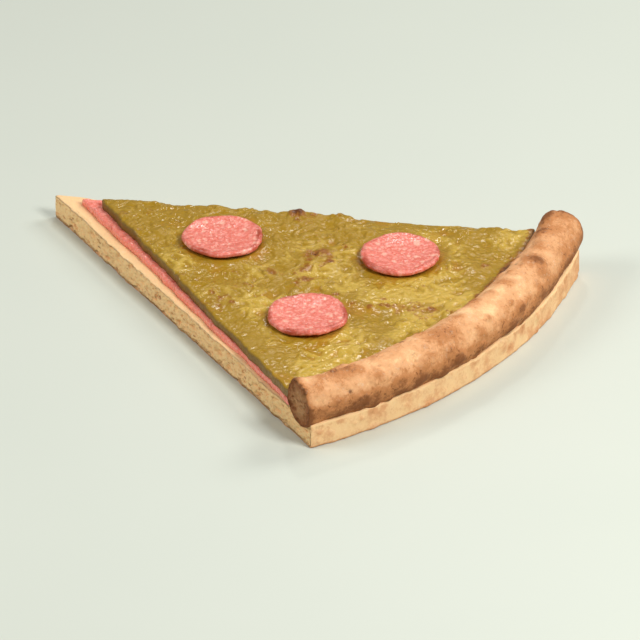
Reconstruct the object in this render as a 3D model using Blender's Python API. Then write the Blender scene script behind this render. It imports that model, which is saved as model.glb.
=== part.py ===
"""A slice of pepperoni pizza, as eight cuts of an 18 inch pizza give it.

The dough is one solid: a flat wedge with a rolled rim baked onto its outer arc. A layer of tomato sauce
lies on it, a layer of melted cheese on the sauce, and three cupped pepperoni slices on the cheese.
Units are metres. +X runs from the tip to the rim, and +Z is up. The origin is on the underside, halfway
between the tip and the rim's outermost point.
"""

import math

import bmesh
import bpy
import numpy as np

MM = 0.001

# Driving dimensions of the whole slice
REACH = 228.4 * MM  # from the tip to the rim's outermost point
HALF_ANGLE = math.radians(24.7)  # from the middle line to each cut
BASE_RADIUS = 226.0 * MM
BASE_THICKNESS = 11.1 * MM
RIM_THICKNESS = 21.5 * MM
HEIGHT = 28.4 * MM  # the table to the rim's top, before the rim's own lumps
GAP = 0.3 * MM  # left between a layer and what it lies on

# The wedge of dough: its blunt tip, its uneven cuts, and its baked upper and lower edges
DOUGH_NOSE = 1.5 * MM
DOUGH_WANDER = 0.35 * MM
DOUGH_SINK = 0.25 * MM
DOUGH_EDGE = 0.8 * MM
DOUGH_UNDERCUT = 0.8 * MM
UNDERCUT_MIDDLE = 0.7 * BASE_RADIUS  # the underside is pulled in towards this point of the middle line

# The rim is a roll of dough whose middle line is an arc about the tip
RIM_ARC_RADIUS = REACH - RIM_THICKNESS / 2
RIM_ARC_HEIGHT = HEIGHT - RIM_THICKNESS / 2
RIM_HALF_ANGLE = HALF_ANGLE + math.radians(0.3)  # its ends stand a little proud of the cuts
RIM_STATIONS = 57
RIM_SIDES_SETTING = 8  # Blender's bevel resolution, which gives 20 sides

# The sauce and the cheese: where each starts, how far out it goes, its level and its soft edge
TOPPING_HALF_ANGLE = math.radians(24.45)
SAUCE_TIP = 14.1 * MM
SAUCE_RADIUS = 206.2 * MM
SAUCE_TOP = 13.85 * MM
SAUCE_NOSE = 2.2 * MM
SAUCE_WANDER = 0.7 * MM
SAUCE_SINK = 0.12 * MM
SAUCE_EDGE = 1.4 * MM
CHEESE_TIP = 24.2 * MM
CHEESE_RADIUS = 205.3 * MM
CHEESE_TOP = 17.5 * MM
CHEESE_NOSE = 3.0 * MM
CHEESE_WANDER = 0.8 * MM
CHEESE_EDGE = 2.1 * MM

# The pepperoni: distance along the slice from the tip, and to the side
PEPPERONI_RADIUS = 17.0 * MM
PEPPERONI_THICKNESS = 2.5 * MM
PEPPERONI_CUP = 1.1 * MM  # how far its edge curls up above its middle
PEPPERONI_SPOTS = {
    "pepperoni_tip": (88.4 * MM, 0.0),
    "pepperoni_near": (157.3 * MM, -32.3 * MM),
    "pepperoni_far": (157.3 * MM, 32.3 * MM),
}
SEAT_LEVEL = CHEESE_TOP - 0.1 * MM  # the cheese is pressed flat under each slice
SEAT_RADIUS = 15.0 * MM
SEAT_BLEND = 6.0 * MM

TIP_X = -REACH / 2


def srgb(red, green, blue):
    """A screen colour of 0 to 255 as the linear colour that a shader takes."""
    values = [channel / 255 for channel in (red, green, blue)]
    return [v / 12.92 if v <= 0.04045 else ((v + 0.055) / 1.055) ** 2.4 for v in values]


def food_material(name, colour, roughness):
    """A plain finish for one kind of food."""
    material = bpy.data.materials.new(name)
    material.use_nodes = True
    shader = material.node_tree.nodes["Principled BSDF"]
    shader.inputs["Base Color"].default_value = (*srgb(*colour), 1.0)
    shader.inputs["Roughness"].default_value = roughness
    shader.inputs["Metallic"].default_value = 0.0
    material.diffuse_color = (*srgb(*colour), 1.0)
    return material


def clear_scene():
    """Removes whatever the file opened with."""
    for thing in list(bpy.data.objects):
        bpy.data.objects.remove(thing)


def waves(places, wavelength, seed):
    """A smooth uneven field of about -1.5 to 1.5: six sine waves of like length in seeded directions."""
    random = np.random.default_rng(seed)
    count = 6
    directions = random.normal(size=(count, places.shape[-1]))
    directions /= np.linalg.norm(directions, axis=1)[:, None]
    lengths = wavelength * random.uniform(0.75, 1.35, count)
    phases = random.uniform(0, 2 * math.pi, count)
    turns = places @ (directions / lengths[:, None]).T
    return np.sin(2 * math.pi * turns + phases).sum(axis=-1) / math.sqrt(count)


def vertices_of(mesh):
    """The mesh's vertices as an array of one row each."""
    flat = np.empty(len(mesh.vertices) * 3)
    mesh.vertices.foreach_get("co", flat)
    return flat.reshape(-1, 3)


def move_vertices(mesh, places):
    """Puts the mesh's vertices at the rows of an array."""
    mesh.vertices.foreach_set("co", places.astype(np.float32).ravel())
    mesh.update()


def block(name, rows_along, rows_across, rows_up):
    """A cube primitive cut into rows, whose corners are at -1 and 1 on each axis."""
    bpy.ops.mesh.primitive_cube_add(size=2)
    thing = bpy.context.object
    thing.name = thing.data.name = name
    shape = bmesh.new()
    shape.from_mesh(thing.data)
    for axis, rows in enumerate((rows_along, rows_across, rows_up)):
        edges = [e for e in shape.edges if abs(e.verts[0].co[axis] - e.verts[1].co[axis]) > 1e-6]
        bmesh.ops.subdivide_edges(shape, edges=edges, cuts=rows - 1, use_grid_fill=True)
    shape.to_mesh(thing.data)
    shape.free()
    return thing


def crowded_to_edges(rows, share):
    """Moves evenly spaced values from -1 to 1 closer together near the two ends."""
    return (1 - share) * rows + share * np.sin(rows * math.pi / 2)


def wedge_plan(along, across, tip, nose, radius, half_angle):
    """X and Y, from the slice's tip, of a wedge with a blunt nose. It runs straight from the nose, where
    along is 0, to an arc about the slice's tip, where along is 1. Across is -1 and 1 at its sides."""
    nose_x = tip + nose * across**2
    nose_y = 0.6 * nose * across
    angle = across * half_angle
    x = nose_x + (radius * np.cos(angle) - nose_x) * along
    y = nose_y + (radius * np.sin(angle) - nose_y) * along
    return x, y


def wander(along, across, amount, wavelength, seed):
    """How far to the side an uneven edge lies, nothing in the middle and at the outer corners."""
    side = np.sign(across)
    places = np.stack([along * BASE_RADIUS, side * BASE_RADIUS], axis=-1)
    fade = np.clip(along / 0.1, 0, 1) * np.clip((1 - along) / 0.12, 0, 1)
    return side * np.abs(across) ** 6 * fade * amount * waves(places, wavelength, seed)


def edge_distance(x, y, tip, nose, radius, half_angle):
    """How far inside the wedge's nearest edge a point lies: a side, the nose or the outer arc."""
    start_x = tip + nose
    start_y = 0.6 * nose
    end_x = radius * math.cos(half_angle)
    end_y = radius * math.sin(half_angle)
    length = math.hypot(end_x - start_x, end_y - start_y)
    cosine = (end_x - start_x) / length
    sine = (end_y - start_y) / length
    to_side = (x - start_x) * sine - (np.abs(y) - start_y) * cosine
    to_nose = (x - tip) * 0.8
    to_arc = radius - np.hypot(x, y)
    return np.maximum(np.minimum(np.minimum(to_side, to_nose), to_arc), 0)


def rounded_drop(distance, radius):
    """How far a rounded edge has fallen below its flat top at this distance from the edge."""
    left = np.clip(1 - distance / radius, 0, 1)
    return radius * (1 - np.sqrt(1 - left**2))


def one_flat_face(thing, level):
    """Joins the faces that lie flat at this height into one."""
    shape = bmesh.new()
    shape.from_mesh(thing.data)
    low = [f for f in shape.faces if all(abs(v.co.z - level) < 1e-7 for v in f.verts)]
    bmesh.ops.dissolve_faces(shape, faces=low, use_verts=False)
    shape.to_mesh(thing.data)
    shape.free()


def dough_wedge():
    """The flat wedge of dough under the toppings, with its lower edges rounded by baking."""
    thing = block("crust", rows_along=34, rows_across=18, rows_up=3)
    rows = vertices_of(thing.data)
    along = (crowded_to_edges(rows[:, 0], 0.6) + 1) / 2
    across = crowded_to_edges(rows[:, 1], 0.6)
    height = (rows[:, 2] + 1) / 2
    x, y = wedge_plan(along, across, 0.0, DOUGH_NOSE, BASE_RADIUS, HALF_ANGLE)
    y = y + wander(along, across, DOUGH_WANDER, 26 * MM, seed=11)
    inside = edge_distance(x, y, 0.0, DOUGH_NOSE, BASE_RADIUS, HALF_ANGLE)
    sunk = DOUGH_SINK * np.clip(1 + waves(np.stack([x, y], -1), 24 * MM, seed=12), 0, 2)
    top = BASE_THICKNESS - sunk - rounded_drop(inside, DOUGH_EDGE)
    to_middle = np.hypot(x - UNDERCUT_MIDDLE, y)
    pulled_in = DOUGH_UNDERCUT * np.clip(1 - 3 * height, 0, 1) / np.maximum(to_middle, 5 * MM)
    x = x + (UNDERCUT_MIDDLE - x) * pulled_in
    y = y - y * pulled_in
    move_vertices(thing.data, np.stack([x + TIP_X, y, top * height], axis=-1))
    one_flat_face(thing, 0.0)
    return thing


def rim_line():
    """The rim's middle line, as points along an arc about the slice's tip."""
    angles = np.linspace(-RIM_HALF_ANGLE, RIM_HALF_ANGLE, RIM_STATIONS)
    x = RIM_ARC_RADIUS * np.cos(angles) + TIP_X
    y = RIM_ARC_RADIUS * np.sin(angles)
    return np.stack([x, y, np.full_like(x, RIM_ARC_HEIGHT)], axis=-1)


def rim_swell(angle, turn):
    """How far the baked rim stands out from an even roll. Angle is about the slice's tip, and turn is
    about the rim's own middle line, 0 outwards and a quarter turn upwards."""
    path = angle * RIM_ARC_RADIUS
    round_it = RIM_THICKNESS / 2
    places = np.stack([path, round_it * np.cos(turn), round_it * np.sin(turn)], axis=-1)
    slow = 0.5 * MM * waves(places, 46 * MM, seed=21)
    lumps = 0.3 * MM * waves(places, 17 * MM, seed=22)
    away_from_cheese = 0.35 + 0.65 * np.clip((np.cos(turn) + 1) / 1.2, 0, 1)
    return (slow + lumps + blisters(places) - 0.25 * MM) * away_from_cheese


def blisters(places):
    """Low round bubbles in the rim's skin, each a bell with a seeded place, width and height."""
    random = np.random.default_rng(23)
    count = 16
    half_length = RIM_HALF_ANGLE * RIM_ARC_RADIUS * 0.94
    paths = np.linspace(-half_length, half_length, count) + random.uniform(-4, 4, count) * MM
    turns = random.uniform(-0.25, 2.3, count)
    round_it = RIM_THICKNESS / 2
    centres = np.stack([paths, round_it * np.cos(turns), round_it * np.sin(turns)], axis=-1)
    widths = random.uniform(3.2, 6.0, count) * MM
    heights = random.uniform(0.5, 1.1, count) * MM
    offset = np.linalg.norm(places[..., None, :] - centres, axis=-1) / widths
    return (heights * np.exp(-(offset**2))).sum(axis=-1)


def rolled_rim():
    """The roll of dough along the outer arc: a thick curve made a mesh, then swollen unevenly."""
    line = bpy.data.curves.new("rim_line", "CURVE")
    line.dimensions = "3D"
    line.twist_mode = "Z_UP"
    line.bevel_depth = RIM_THICKNESS / 2
    line.bevel_resolution = RIM_SIDES_SETTING
    line.use_fill_caps = True
    spline = line.splines.new("POLY")
    spline.points.add(RIM_STATIONS - 1)
    homogeneous = np.concatenate([rim_line(), np.ones((RIM_STATIONS, 1))], axis=-1)
    spline.points.foreach_set("co", homogeneous.ravel())
    guide = bpy.data.objects.new("rim_guide", line)
    bpy.context.scene.collection.objects.link(guide)
    graph = bpy.context.evaluated_depsgraph_get()
    mesh = bpy.data.meshes.new_from_object(guide.evaluated_get(graph))
    bpy.data.objects.remove(guide)
    shape = bmesh.new()
    shape.from_mesh(mesh)
    bmesh.ops.remove_doubles(shape, verts=shape.verts, dist=0.01 * MM)
    shape.to_mesh(mesh)
    shape.free()

    places = vertices_of(mesh)
    out = np.hypot(places[:, 0] - TIP_X, places[:, 1])
    angle = np.arctan2(places[:, 1], places[:, 0] - TIP_X)
    turn = np.arctan2(places[:, 2] - RIM_ARC_HEIGHT, out - RIM_ARC_RADIUS)
    swell = rim_swell(angle, turn)
    out = out + swell * np.cos(turn)
    z = places[:, 2] + swell * np.sin(turn)
    move_vertices(mesh, np.stack([out * np.cos(angle) + TIP_X, out * np.sin(angle), z], axis=-1))
    return bpy.data.objects.new("rim_roll", mesh)


def make_crust(parts, helpers, dough):
    """The dough: the wedge and the rolled rim as one solid."""
    wedge = dough_wedge()
    roll = rolled_rim()
    helpers.objects.link(roll)
    roll.hide_render = True
    roll.display_type = "WIRE"
    join = wedge.modifiers.new("rim baked onto the wedge", "BOOLEAN")
    join.operation = "UNION"
    join.solver = "EXACT"
    join.object = roll
    finish(wedge, parts, dough)


def make_sauce(parts, tomato):
    """The layer of tomato sauce, with a soft wet edge that stops short of the dough's own edge."""
    thing = block("sauce", rows_along=32, rows_across=16, rows_up=2)
    rows = vertices_of(thing.data)
    along = (crowded_to_edges(rows[:, 0], 0.6) + 1) / 2
    across = crowded_to_edges(rows[:, 1], 0.75)
    height = (rows[:, 2] + 1) / 2
    x, y = wedge_plan(along, across, SAUCE_TIP, SAUCE_NOSE, SAUCE_RADIUS, TOPPING_HALF_ANGLE)
    y = y + wander(along, across, SAUCE_WANDER, 15 * MM, seed=31)
    inside = edge_distance(x, y, SAUCE_TIP, SAUCE_NOSE, SAUCE_RADIUS, TOPPING_HALF_ANGLE)
    sunk = SAUCE_SINK * np.clip(1 + waves(np.stack([x, y], -1), 11 * MM, seed=32), 0, 2)
    bottom = BASE_THICKNESS + GAP
    top = SAUCE_TOP - sunk - rounded_drop(inside, SAUCE_EDGE)
    z = bottom + (top - bottom) * height
    move_vertices(thing.data, np.stack([x + TIP_X, y, z], axis=-1))
    one_flat_face(thing, bottom)
    finish(thing, parts, tomato)


def cheese_relief(x, y):
    """How far the melted cheese stands above its mean level: slow swells, small lumps and bubbles."""
    places = np.stack([x, y], axis=-1)
    relief = 0.32 * MM * waves(places, 38 * MM, seed=41) + 0.2 * MM * waves(places, 16 * MM, seed=42)
    return relief + cheese_bubbles(x, y)


def cheese_bubbles(x, y):
    """Low domes where steam has lifted the cheese, spread evenly by a sunflower spiral."""
    random = np.random.default_rng(43)
    count = 34
    order = np.arange(count) + 0.5
    out = 0.62 * CHEESE_RADIUS * np.sqrt(order / count)
    turn = order * math.pi * (3 - math.sqrt(5))
    centre_x = 0.6 * CHEESE_RADIUS + out * np.cos(turn) * 0.95
    centre_y = out * np.sin(turn)
    widths = random.uniform(3.5, 8.0, count) * MM
    heights = random.uniform(0.25, 0.75, count) * MM
    offset = np.hypot(x[..., None] - centre_x, y[..., None] - centre_y) / widths
    return (heights * np.exp(-(offset**4))).sum(axis=-1)


def pressed_flat(x, y, level):
    """The cheese's level with a flat seat under each pepperoni and a low bank of cheese round it."""
    for spot_x, spot_y in PEPPERONI_SPOTS.values():
        distance = np.hypot(x - spot_x, y - spot_y)
        free = np.clip((distance - SEAT_RADIUS) / SEAT_BLEND, 0, 1)
        free = free * free * (3 - 2 * free)
        level = SEAT_LEVEL + (level - SEAT_LEVEL) * free
    return level


def make_cheese(parts, melted):
    """The layer of melted cheese, with a thick soft edge."""
    thing = block("cheese", rows_along=38, rows_across=28, rows_up=2)
    rows = vertices_of(thing.data)
    along = (crowded_to_edges(rows[:, 0], 0.35) + 1) / 2
    across = crowded_to_edges(rows[:, 1], 0.6)
    height = (rows[:, 2] + 1) / 2
    x, y = wedge_plan(along, across, CHEESE_TIP, CHEESE_NOSE, CHEESE_RADIUS, TOPPING_HALF_ANGLE)
    y = y + wander(along, across, CHEESE_WANDER, 19 * MM, seed=44)
    inside = edge_distance(x, y, CHEESE_TIP, CHEESE_NOSE, CHEESE_RADIUS, TOPPING_HALF_ANGLE)
    bottom = SAUCE_TOP + GAP
    top = pressed_flat(x, y, CHEESE_TOP + cheese_relief(x, y)) - rounded_drop(inside, CHEESE_EDGE)
    z = bottom + (top - bottom) * height
    move_vertices(thing.data, np.stack([x + TIP_X, y, z], axis=-1))
    one_flat_face(thing, bottom)
    finish(thing, parts, melted)


def make_pepperoni(name, spot, seed, parts, sausage):
    """One slice of pepperoni: a ball pressed into a coin, then cupped and curled at its edge. The coin's
    two flat faces take the ball down to 0.4 of the way from pole to pole, and its round edge the rest."""
    bpy.ops.mesh.primitive_uv_sphere_add(segments=32, ring_count=13, radius=1)
    thing = bpy.context.object
    thing.name = thing.data.name = name
    ball = vertices_of(thing.data)
    turn = np.arctan2(ball[:, 1], ball[:, 0])
    latitude = np.arctan2(ball[:, 2], np.hypot(ball[:, 0], ball[:, 1]))
    walked = (math.pi / 2 - latitude) / math.pi  # 0 at the middle of the top, 1 at the middle below
    to_edge = np.clip(np.minimum(walked, 1 - walked) / 0.4, 0, 1)
    over_edge = np.clip((walked - 0.4) / 0.2, 0, 1)
    circle = np.stack([np.cos(turn), np.sin(turn)], axis=-1)
    ragged = 1 + 0.018 * waves(circle, 1.1, seed)
    half = PEPPERONI_THICKNESS / 2
    out = ragged * ((PEPPERONI_RADIUS - half) * to_edge + half * np.sin(math.pi * over_edge))
    curl = PEPPERONI_CUP * to_edge**2.2 * (1 + 0.3 * waves(circle, 1.3, seed + 1))
    level = half * np.cos(math.pi * over_edge)
    x = spot[0] + out * np.cos(turn) + TIP_X
    y = spot[1] + out * np.sin(turn)
    z = SEAT_LEVEL + GAP + half + level + curl
    move_vertices(thing.data, np.stack([x, y, z], axis=-1))
    finish(thing, parts, sausage)


def finish(thing, parts, material):
    """Files a piece in the slice's collection with its material and smooth shading."""
    for collection in list(thing.users_collection):
        collection.objects.unlink(thing)
    parts.objects.link(thing)
    thing.data.materials.clear()
    thing.data.materials.append(material)
    thing.data.shade_smooth()
    thing.data.set_sharp_from_angle(angle=math.radians(50))


def main():
    clear_scene()
    parts = bpy.data.collections.new("pizza_slice")
    helpers = bpy.data.collections.new("helpers")
    for collection in (parts, helpers):
        bpy.context.scene.collection.children.link(collection)
    make_crust(parts, helpers, food_material("baked_dough", (238, 184, 130), 0.75))
    make_sauce(parts, food_material("tomato_sauce", (222, 112, 92), 0.35))
    make_cheese(parts, food_material("melted_cheese", (186, 150, 68), 0.4))
    sausage = food_material("pepperoni", (246, 151, 136), 0.4)
    for number, (name, spot) in enumerate(PEPPERONI_SPOTS.items()):
        make_pepperoni(name, spot, 51 + 10 * number, parts, sausage)


main()
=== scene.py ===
# %% [markdown]
# # A slice of pepperoni pizza
#
# This lesson dresses a plain solid model of a pizza slice as real food. The solids give every place and
# size: a wedge of dough with a rolled rim, a layer of sauce, a layer of cheese and three slices of
# pepperoni. Each one is replaced here by a dense surface with the same form, plus what an oven does to it:
# bubbles, blisters, an open crumb where the knife went through, browned spots and fat.

# %% Load the solids and keep their box
import itertools
import math

import bpy
import numpy as np
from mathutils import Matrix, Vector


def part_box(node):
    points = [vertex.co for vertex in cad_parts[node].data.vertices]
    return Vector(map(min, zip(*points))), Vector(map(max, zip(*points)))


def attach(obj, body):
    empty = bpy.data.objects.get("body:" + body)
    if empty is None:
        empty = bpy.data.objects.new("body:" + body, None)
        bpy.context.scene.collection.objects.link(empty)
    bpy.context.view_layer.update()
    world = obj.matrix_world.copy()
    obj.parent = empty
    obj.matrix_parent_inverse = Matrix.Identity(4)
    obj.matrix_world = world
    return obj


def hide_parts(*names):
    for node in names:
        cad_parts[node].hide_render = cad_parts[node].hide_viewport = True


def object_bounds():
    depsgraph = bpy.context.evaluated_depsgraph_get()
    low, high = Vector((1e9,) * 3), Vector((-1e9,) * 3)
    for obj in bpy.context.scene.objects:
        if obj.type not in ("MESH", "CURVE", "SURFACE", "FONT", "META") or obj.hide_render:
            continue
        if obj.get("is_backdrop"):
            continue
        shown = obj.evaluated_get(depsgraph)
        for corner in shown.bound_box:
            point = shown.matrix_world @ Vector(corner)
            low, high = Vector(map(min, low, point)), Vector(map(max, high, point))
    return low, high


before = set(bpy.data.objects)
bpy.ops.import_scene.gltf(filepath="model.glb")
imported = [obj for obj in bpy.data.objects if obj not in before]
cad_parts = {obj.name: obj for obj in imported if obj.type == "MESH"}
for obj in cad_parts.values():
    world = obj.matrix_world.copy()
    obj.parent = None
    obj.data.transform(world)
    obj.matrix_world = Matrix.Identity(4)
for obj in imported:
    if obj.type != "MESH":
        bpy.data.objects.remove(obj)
solid_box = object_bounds()
print("solids:", sorted(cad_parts))

# %% [markdown]
# ## Sizes
#
# The slice is a little more than an eighth of an 18 inch pizza. All lengths are in metres, so a
# millimetre is a named value. The tip, where the two cuts meet, is the centre of every arc, so most
# shapes are worked out from there, with x running from the tip to the rim.

# %% Driving sizes
MM = 0.001
TIP_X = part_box("crust")[0].x
REACH = 228.4 * MM
HALF_ANGLE = math.radians(24.7)
BASE_RADIUS = 226.0 * MM
BASE_THICKNESS = 11.1 * MM
RIM_THICKNESS = 21.5 * MM
RIM_TOP = 28.4 * MM
RIM_ARC_RADIUS = REACH - RIM_THICKNESS / 2
RIM_ARC_HEIGHT = RIM_TOP - RIM_THICKNESS / 2
RIM_HALF_ANGLE = HALF_ANGLE + math.radians(0.3)
TOPPING_HALF_ANGLE = math.radians(24.45)
SAUCE_TIP = 14.1 * MM
SAUCE_RADIUS = 206.2 * MM
SAUCE_TOP = 13.85 * MM
CHEESE_TIP = 24.2 * MM
CHEESE_RADIUS = 205.3 * MM
CHEESE_TOP = 17.5 * MM
PEPPERONI_RADIUS = 17.0 * MM
PEPPERONI_THICKNESS = 2.5 * MM
PEPPERONI_CUP = 1.1 * MM
PEPPERONI_SPOTS = {
    "pepperoni_tip": (88.4 * MM, 0.0),
    "pepperoni_near": (157.3 * MM, -32.3 * MM),
    "pepperoni_far": (157.3 * MM, 32.3 * MM),
}
SEAT_LEVEL = CHEESE_TOP - 0.1 * MM
SEAT_RADIUS = 15.0 * MM
SEAT_BLEND = 6.0 * MM
GAP = 0.3 * MM
print(f"reach {REACH / MM:.1f} mm, rim {RIM_THICKNESS / MM:.1f} mm thick")

# %% [markdown]
# ## Unevenness
#
# Baked food has no straight line in it. Four kinds of unevenness make all of it. Waves are a few sines in
# random directions, smooth and cheap, and the solids are shaped by the same ones. Noise is random values at
# the corners of small cubes, blended between them, and it has finer and finer layers. Bubbles are balls
# with random centres and sizes: a surface that cuts through them shows round holes, as bread does. Bells
# are single low swellings, each at its own place.

# %% Waves
def waves(places, wavelength, seed):
    """A smooth field of about -1.5 to 1.5: the sum of six sine waves of like length, each with a seeded
    direction, length and phase, over the root of six."""
    random = np.random.default_rng(seed)
    count = 6
    directions = random.normal(size=(count, places.shape[-1]))
    directions /= np.linalg.norm(directions, axis=1)[:, None]
    lengths = wavelength * random.uniform(0.75, 1.35, count)
    phases = random.uniform(0, 2 * math.pi, count)
    turns = places @ (directions / lengths[:, None]).T
    return np.sin(2 * math.pi * turns + phases).sum(axis=-1) / math.sqrt(count)


def smooth(values, low, high):
    """0 below low, 1 above high, and between them the curve 3t^2 - 2t^3."""
    part = np.clip((values - low) / (high - low), 0, 1)
    return part * part * (3 - 2 * part)


# %% Noise
def hashed(cells, seed):
    """A repeatable number of 0 to 1 for each whole-number cell: its coordinates, each times a large odd
    number, are mixed bit by bit, then folded and multiplied twice."""
    x, y, z = (cells[..., axis].astype(np.int64) for axis in range(3))
    mixed = (x * 73856093) ^ (y * 19349663) ^ (z * 83492791) ^ (seed * 39916801)
    for _ in range(2):
        mixed = ((mixed ^ (mixed >> 15)) & 0xFFFFFFFF) * 0x2C1B3C6D & 0xFFFFFFFF
    mixed ^= mixed >> 16
    return mixed / 2**32


def noise(places, size, seed):
    """Smooth noise of -1 to 1: random values at the corners of cubes of this size, blended by the curve
    3t^2 - 2t^3 along each axis."""
    scaled = places / size
    cell = np.floor(scaled)
    part = scaled - cell
    part = part * part * (3 - 2 * part)
    total = np.zeros(places.shape[:-1])
    for corner in itertools.product((0, 1), repeat=3):
        weight = np.prod(np.where(corner, part, 1 - part), axis=-1)
        total += weight * hashed(cell + corner, seed)
    return 2 * total - 1


def layered(places, size, seed, layers=4):
    """Noise of this size plus noise of half the size at half the strength, and so on."""
    total = sum(noise(places, size / 2**n, seed + n) / 2**n for n in range(layers))
    return total / sum(1 / 2**n for n in range(layers))


def bend(places, amount, size, seed):
    """Places moved by up to this amount along each axis, by three noises of this size."""
    return places + amount * np.stack([noise(places, size, seed + n) for n in range(3)], axis=-1)


def on_plan(plan):
    """Places at height zero, for a field that depends on the plan alone. Each is given as x + iy."""
    return np.stack([plan.real, plan.imag, np.zeros(plan.shape)], axis=-1)


# %% Bubbles and bells
def bubbles(places, size, seed, fill):
    """How deep inside a round bubble each place lies: 0 outside, 1 at its centre. Every cube of this size
    holds one bubble, whose random radius is up to fill times the size."""
    scaled = places / size
    own = np.floor(scaled)
    deepest = np.zeros(places.shape[:-1])
    for step in itertools.product((-1, 0, 1), repeat=3):
        cell = own + step
        centre = cell + np.stack([hashed(cell, seed + n) for n in range(3)], axis=-1)
        radius = fill * (0.35 + 0.65 * hashed(cell, seed + 3))
        inside = 1 - np.linalg.norm(scaled - centre, axis=-1) / radius
        deepest = np.maximum(deepest, inside)
    return deepest


def bells(places, centres, widths, heights, power):
    """The sum of low bells, each height * exp(-(distance / width)^power)."""
    total = np.zeros(places.shape[:-1])
    for centre, width, height in zip(centres, widths, heights):
        total += height * np.exp(-((np.linalg.norm(places - centre, axis=-1) / width) ** power))
    return total


test_places = np.random.default_rng(1).uniform(0, 50 * MM, (2000, 3))
share_inside = (bubbles(test_places, 4 * MM, 5, 0.55) > 0).mean()
print(f"share of places inside a bubble: {share_inside:.2f}")

# %% [markdown]
# ## From arrays to meshes
#
# Most pieces here are a stack of rings: each ring is a closed row of points, and the first and the last
# ring are closed by one point. The middle of the underside is the first, the rings climb the side, and
# the middle of the top is the last, so a wedge, a coin and a roll are all the same kind of surface. Marks
# are numbers kept for every vertex, such as how browned it is, and the materials read them, so that colour
# and relief belong together.

# %% Meshes and their marks
scene = bpy.context.scene


def new_object(data):
    """An object with this mesh, lamp or camera, under the same name, linked to the scene."""
    made = bpy.data.objects.new(data.name, data)
    scene.collection.objects.link(made)
    return made


def mesh_piece(name, vertices, faces):
    """An object at the origin with these vertices and faces, shaded smooth."""
    mesh = bpy.data.meshes.new(name)
    mesh.from_pydata(vertices, [], faces)
    mesh.shade_smooth()
    print(f"{name}: {len(vertices)} vertices, {sum(len(face) - 2 for face in faces)} triangles")
    return new_object(mesh)


def with_poles(rows):
    """Values of the rings as one list, with the mean of the first ring before and of the last after."""
    flat = rows.reshape(-1, *rows.shape[2:])
    return np.concatenate([rows[:1].mean(axis=1), flat, rows[-1:].mean(axis=1)])


def ring_piece(name, rings):
    """A closed surface through rings[ring, station] with a point in the middle of both end rings. The
    stations run anticlockwise as seen from the last ring's side, so the faces point outwards."""
    count, stations = rings.shape[:2]
    index = 1 + np.arange(count * stations).reshape(count, stations)
    beside = np.roll(index, -1, axis=1)
    quads = np.stack([index[:-1], beside[:-1], beside[1:], index[1:]], axis=-1).reshape(-1, 4)
    last = count * stations + 1
    low = np.stack([np.zeros(stations, int), beside[0], index[0]], axis=-1)
    high = np.stack([np.full(stations, last), index[-1], beside[-1]], axis=-1)
    return mesh_piece(name, with_poles(rings).tolist(), [*quads.tolist(), *low.tolist(), *high.tolist()])


def mark(piece, name, values):
    """Keeps one number for every vertex under this name."""
    attribute = piece.data.attributes.new(name, "FLOAT", "POINT")
    attribute.data.foreach_set("value", values.astype(np.float32).ravel())


def mark_rings(piece, **marks):
    """Keeps each of these marks, given ring by ring, under its own name."""
    for name, rows in marks.items():
        mark(piece, name, with_poles(rows))


# %% [markdown]
# ## Finishes
#
# A finish is a Principled shader whose colour, roughness and bump come from small node networks. A few
# helpers keep them short: noise and round cells in object coordinates, a value pulled between two limits,
# and a colour tinted by another one. Colours are written as they look on a screen, 0 to 255, and turned
# into the linear values that light adds up in.

# %% Node helpers
def linear(colour):
    """A screen colour of 0 to 255 as linear red, green, blue and 1. A socket is given back as it is."""
    if isinstance(colour, bpy.types.NodeSocket):
        return colour
    values = [channel / 255 for channel in colour]
    return (*[v / 12.92 if v <= 0.04045 else ((v + 0.055) / 1.055) ** 2.4 for v in values], 1.0)


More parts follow.
